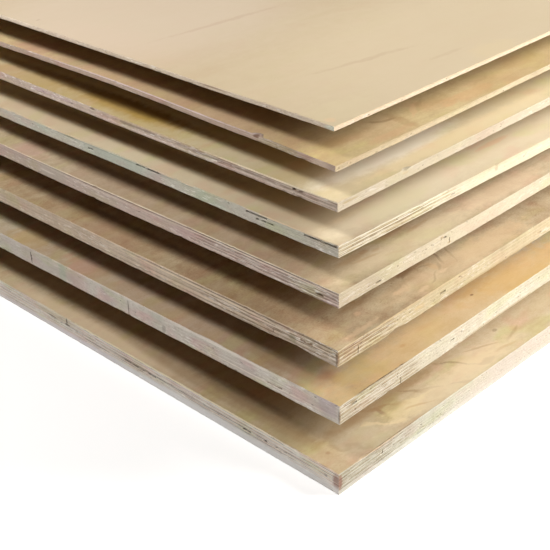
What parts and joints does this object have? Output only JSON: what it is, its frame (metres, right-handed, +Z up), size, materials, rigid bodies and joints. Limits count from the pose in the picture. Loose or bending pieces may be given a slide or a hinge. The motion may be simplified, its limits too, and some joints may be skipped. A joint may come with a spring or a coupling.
{
  "type": "stack of plywood sheets",
  "caption": "Stack of full-size plywood sheets in rising thickness from top to bottom, held apart by crosswise sawn stickers set back from the edges.",
  "frame": {"origin": "on the floor, under the middle of the box round the whole stack", "axes": "+X along the sheets' length and face grain, +Y across them, +Z up"},
  "size_m": [2.4634, 1.2692, 0.3805],
  "materials": {
    "plywood_25mm": "sanded, unfinished",
    "plywood_21mm": "sanded, unfinished",
    "plywood_18mm": "sanded, unfinished",
    "plywood_15mm": "sanded, unfinished",
    "plywood_12mm": "sanded, unfinished",
    "plywood_9mm": "sanded, unfinished",
    "plywood_5_5mm": "sanded, unfinished",
    "plywood_4mm": "sanded, unfinished",
    "sawn_batten": "rough sawn"
  },
  "bodies": {
    "root": {"sheet_25mm": "plywood_25mm", "sticker_1_under_21mm": "sawn_batten", "sticker_2_under_21mm": "sawn_batten", "sticker_3_under_21mm": "sawn_batten", "sticker_4_under_21mm": "sawn_batten", "sticker_5_under_21mm": "sawn_batten", "sheet_21mm": "plywood_21mm", "sticker_1_under_18mm": "sawn_batten", "sticker_2_under_18mm": "sawn_batten", "sticker_3_under_18mm": "sawn_batten", "sticker_4_under_18mm": "sawn_batten", "sticker_5_under_18mm": "sawn_batten", "sheet_18mm": "plywood_18mm", "sticker_1_under_15mm": "sawn_batten", "sticker_2_under_15mm": "sawn_batten", "sticker_3_under_15mm": "sawn_batten", "sticker_4_under_15mm": "sawn_batten", "sticker_5_under_15mm": "sawn_batten", "sheet_15mm": "plywood_15mm", "sticker_1_under_12mm": "sawn_batten", "sticker_2_under_12mm": "sawn_batten", "sticker_3_under_12mm": "sawn_batten", "sticker_4_under_12mm": "sawn_batten", "sticker_5_under_12mm": "sawn_batten", "sheet_12mm": "plywood_12mm", "sticker_1_under_9mm": "sawn_batten", "sticker_2_under_9mm": "sawn_batten", "sticker_3_under_9mm": "sawn_batten", "sticker_4_under_9mm": "sawn_batten", "sticker_5_under_9mm": "sawn_batten", "sheet_9mm": "plywood_9mm", "sticker_1_under_5_5mm": "sawn_batten", "sticker_2_under_5_5mm": "sawn_batten", "sticker_3_under_5_5mm": "sawn_batten", "sticker_4_under_5_5mm": "sawn_batten", "sticker_5_under_5_5mm": "sawn_batten", "sheet_5_5mm": "plywood_5_5mm", "sticker_1_under_4mm": "sawn_batten", "sticker_2_under_4mm": "sawn_batten", "sticker_3_under_4mm": "sawn_batten", "sticker_4_under_4mm": "sawn_batten", "sticker_5_under_4mm": "sawn_batten", "sheet_4mm": "plywood_4mm"}
  },
  "joints": []
}
